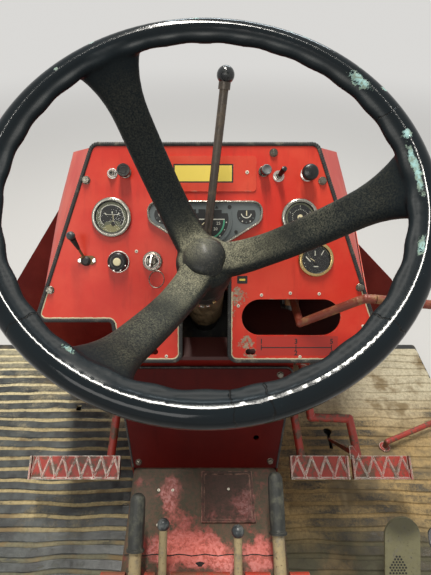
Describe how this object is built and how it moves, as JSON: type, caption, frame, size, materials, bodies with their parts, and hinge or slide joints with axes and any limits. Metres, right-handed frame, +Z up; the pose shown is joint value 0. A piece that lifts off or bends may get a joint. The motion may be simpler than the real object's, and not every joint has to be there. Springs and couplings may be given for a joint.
{
  "type": "tractor driving platform with steering wheel and control console",
  "caption": "Driver's place of an old farm tractor: ribbed floor, gearbox tunnel, red dash with gauges, deep-dish steering wheel, pedals and hand levers.",
  "frame": {"origin": "middle of the underside of the frame's channels, centred on the whole outline", "axes": "+X to the driver's right, +Y forward to the toe board, +Z up"},
  "size_m": [1.2, 0.74, 0.9118],
  "materials": {
    "frame_black": "satin black paint under dust",
    "mat_rubber": "ribbed rubber with sandy dust",
    "red_paint": "bright red enamel",
    "dark_red_paint": "dark red enamel",
    "faded_red_paint": "faded pinkish red enamel",
    "worn_red_paint": "worn red enamel with oily dirt",
    "pedal_red": "red enamel worn to steel",
    "brown_paint": "brown-red enamel",
    "bare_steel": "turned steel, dull",
    "dusty_metal": "dusty beige grey",
    "gauge_bezel": "chromed, dull",
    "black_rubber": "black edge rubber",
    "black_knob": "black plastic",
    "wheel_black": "glossy black with fine cracks and chips"
  },
  "bodies": {
    "platform": {"underframe": "frame_black", "cross_members": "frame_black", "floor_plate": "frame_black", "mat_left": "mat_rubber", "mat_right": "mat_rubber", "toe_board": "dark_red_paint", "tunnel_cover": "worn_red_paint", "tunnel_lid": "worn_red_paint", "rear_console": "red_paint", "lever_shaft": "bare_steel", "pedestal": "dark_red_paint", "column_bracket": "frame_black", "lower_panel": "dark_red_paint", "lower_trim": "black_rubber", "dash_housing": "faded_red_paint", "dash_panel": "red_paint", "dash_trim": "black_rubber", "cover_plate": "red_paint", "cluster": "gauge_bezel", "gauge_left": "gauge_bezel", "gauge_right_upper": "gauge_bezel", "gauge_right_lower": "gauge_bezel", "dash_switches": "black_knob", "ignition_lock": "gauge_bezel", "column_tube": "frame_black", "column_sleeve": "dusty_metal", "hand_lever_base": "black_rubber", "gear_pivot": "frame_black", "pedal_shaft": "bare_steel", "foot_throttle_base": "frame_black", "side_bar": "red_paint"},
    "wheel": {"steering_wheel": "wheel_black", "steering_shaft": "bare_steel", "wheel_cap": "wheel_black"},
    "hand_lever": {"hand_lever": "frame_black"},
    "gear_lever": {"gear_lever": "brown_paint"},
    "clutch": {"clutch_pedal": "pedal_red"},
    "brake_left": {"brake_pedal_left": "pedal_red"},
    "brake_right": {"brake_pedal_right": "pedal_red"},
    "throttle": {"foot_throttle": "dusty_metal"},
    "park_lever": {"park_lever": "dusty_metal"},
    "lift_lever": {"lift_lever": "dusty_metal"},
    "draft_lever": {"draft_lever": "dusty_metal"},
    "range_lever": {"range_lever": "dusty_metal"}
  },
  "joints": [
    {"name": "steering_turn", "type": "hinge", "parent": "platform", "child": "wheel", "pos_m": [0, -0.1, 0.8], "axis": [0, -0.4787, 0.878], "continuous": true},
    {"name": "hand_lever_swing", "type": "hinge", "parent": "platform", "child": "hand_lever", "pos_m": [0, 0.05448, 0.60859], "axis": [1, 0, 0], "range_deg": [-8, 8]},
    {"name": "gear_lever_swing", "type": "hinge", "parent": "platform", "child": "gear_lever", "pos_m": [0.149, 0.084, 0.5028], "axis": [0, 0.5736, 0.8192], "range_deg": [-14, 14]},
    {"name": "clutch_press", "type": "hinge", "parent": "platform", "child": "clutch", "pos_m": [0, 0.1, 0.33], "axis": [1, 0, 0], "range_deg": [0, 22], "stiffness_Nm_per_rad": 12, "springref_deg": -20.05},
    {"name": "brake_left_press", "type": "hinge", "parent": "platform", "child": "brake_left", "pos_m": [0, 0.1, 0.33], "axis": [1, 0, 0], "range_deg": [0, 22], "stiffness_Nm_per_rad": 12, "springref_deg": -20.05},
    {"name": "brake_right_press", "type": "hinge", "parent": "platform", "child": "brake_right", "pos_m": [0, 0.1, 0.33], "axis": [1, 0, 0], "range_deg": [0, 22], "stiffness_Nm_per_rad": 12, "springref_deg": -20.05},
    {"name": "throttle_press", "type": "hinge", "parent": "platform", "child": "throttle", "pos_m": [0.341, -0.258, 0.08], "axis": [-1, 0, 0], "range_deg": [0, 18], "stiffness_Nm_per_rad": 3, "springref_deg": -14.32},
    {"name": "park_lever_swing", "type": "hinge", "parent": "platform", "child": "park_lever", "pos_m": [0, -0.31, 0.255], "axis": [1, 0, 0], "range_deg": [-8, 35]},
    {"name": "lift_lever_swing", "type": "hinge", "parent": "platform", "child": "lift_lever", "pos_m": [0, -0.31, 0.255], "axis": [1, 0, 0], "range_deg": [-8, 35]},
    {"name": "draft_lever_swing", "type": "hinge", "parent": "platform", "child": "draft_lever", "pos_m": [0, -0.31, 0.255], "axis": [1, 0, 0], "range_deg": [-8, 35]},
    {"name": "range_lever_swing", "type": "hinge", "parent": "platform", "child": "range_lever", "pos_m": [0, -0.31, 0.255], "axis": [1, 0, 0], "range_deg": [-8, 35]}
  ]
}
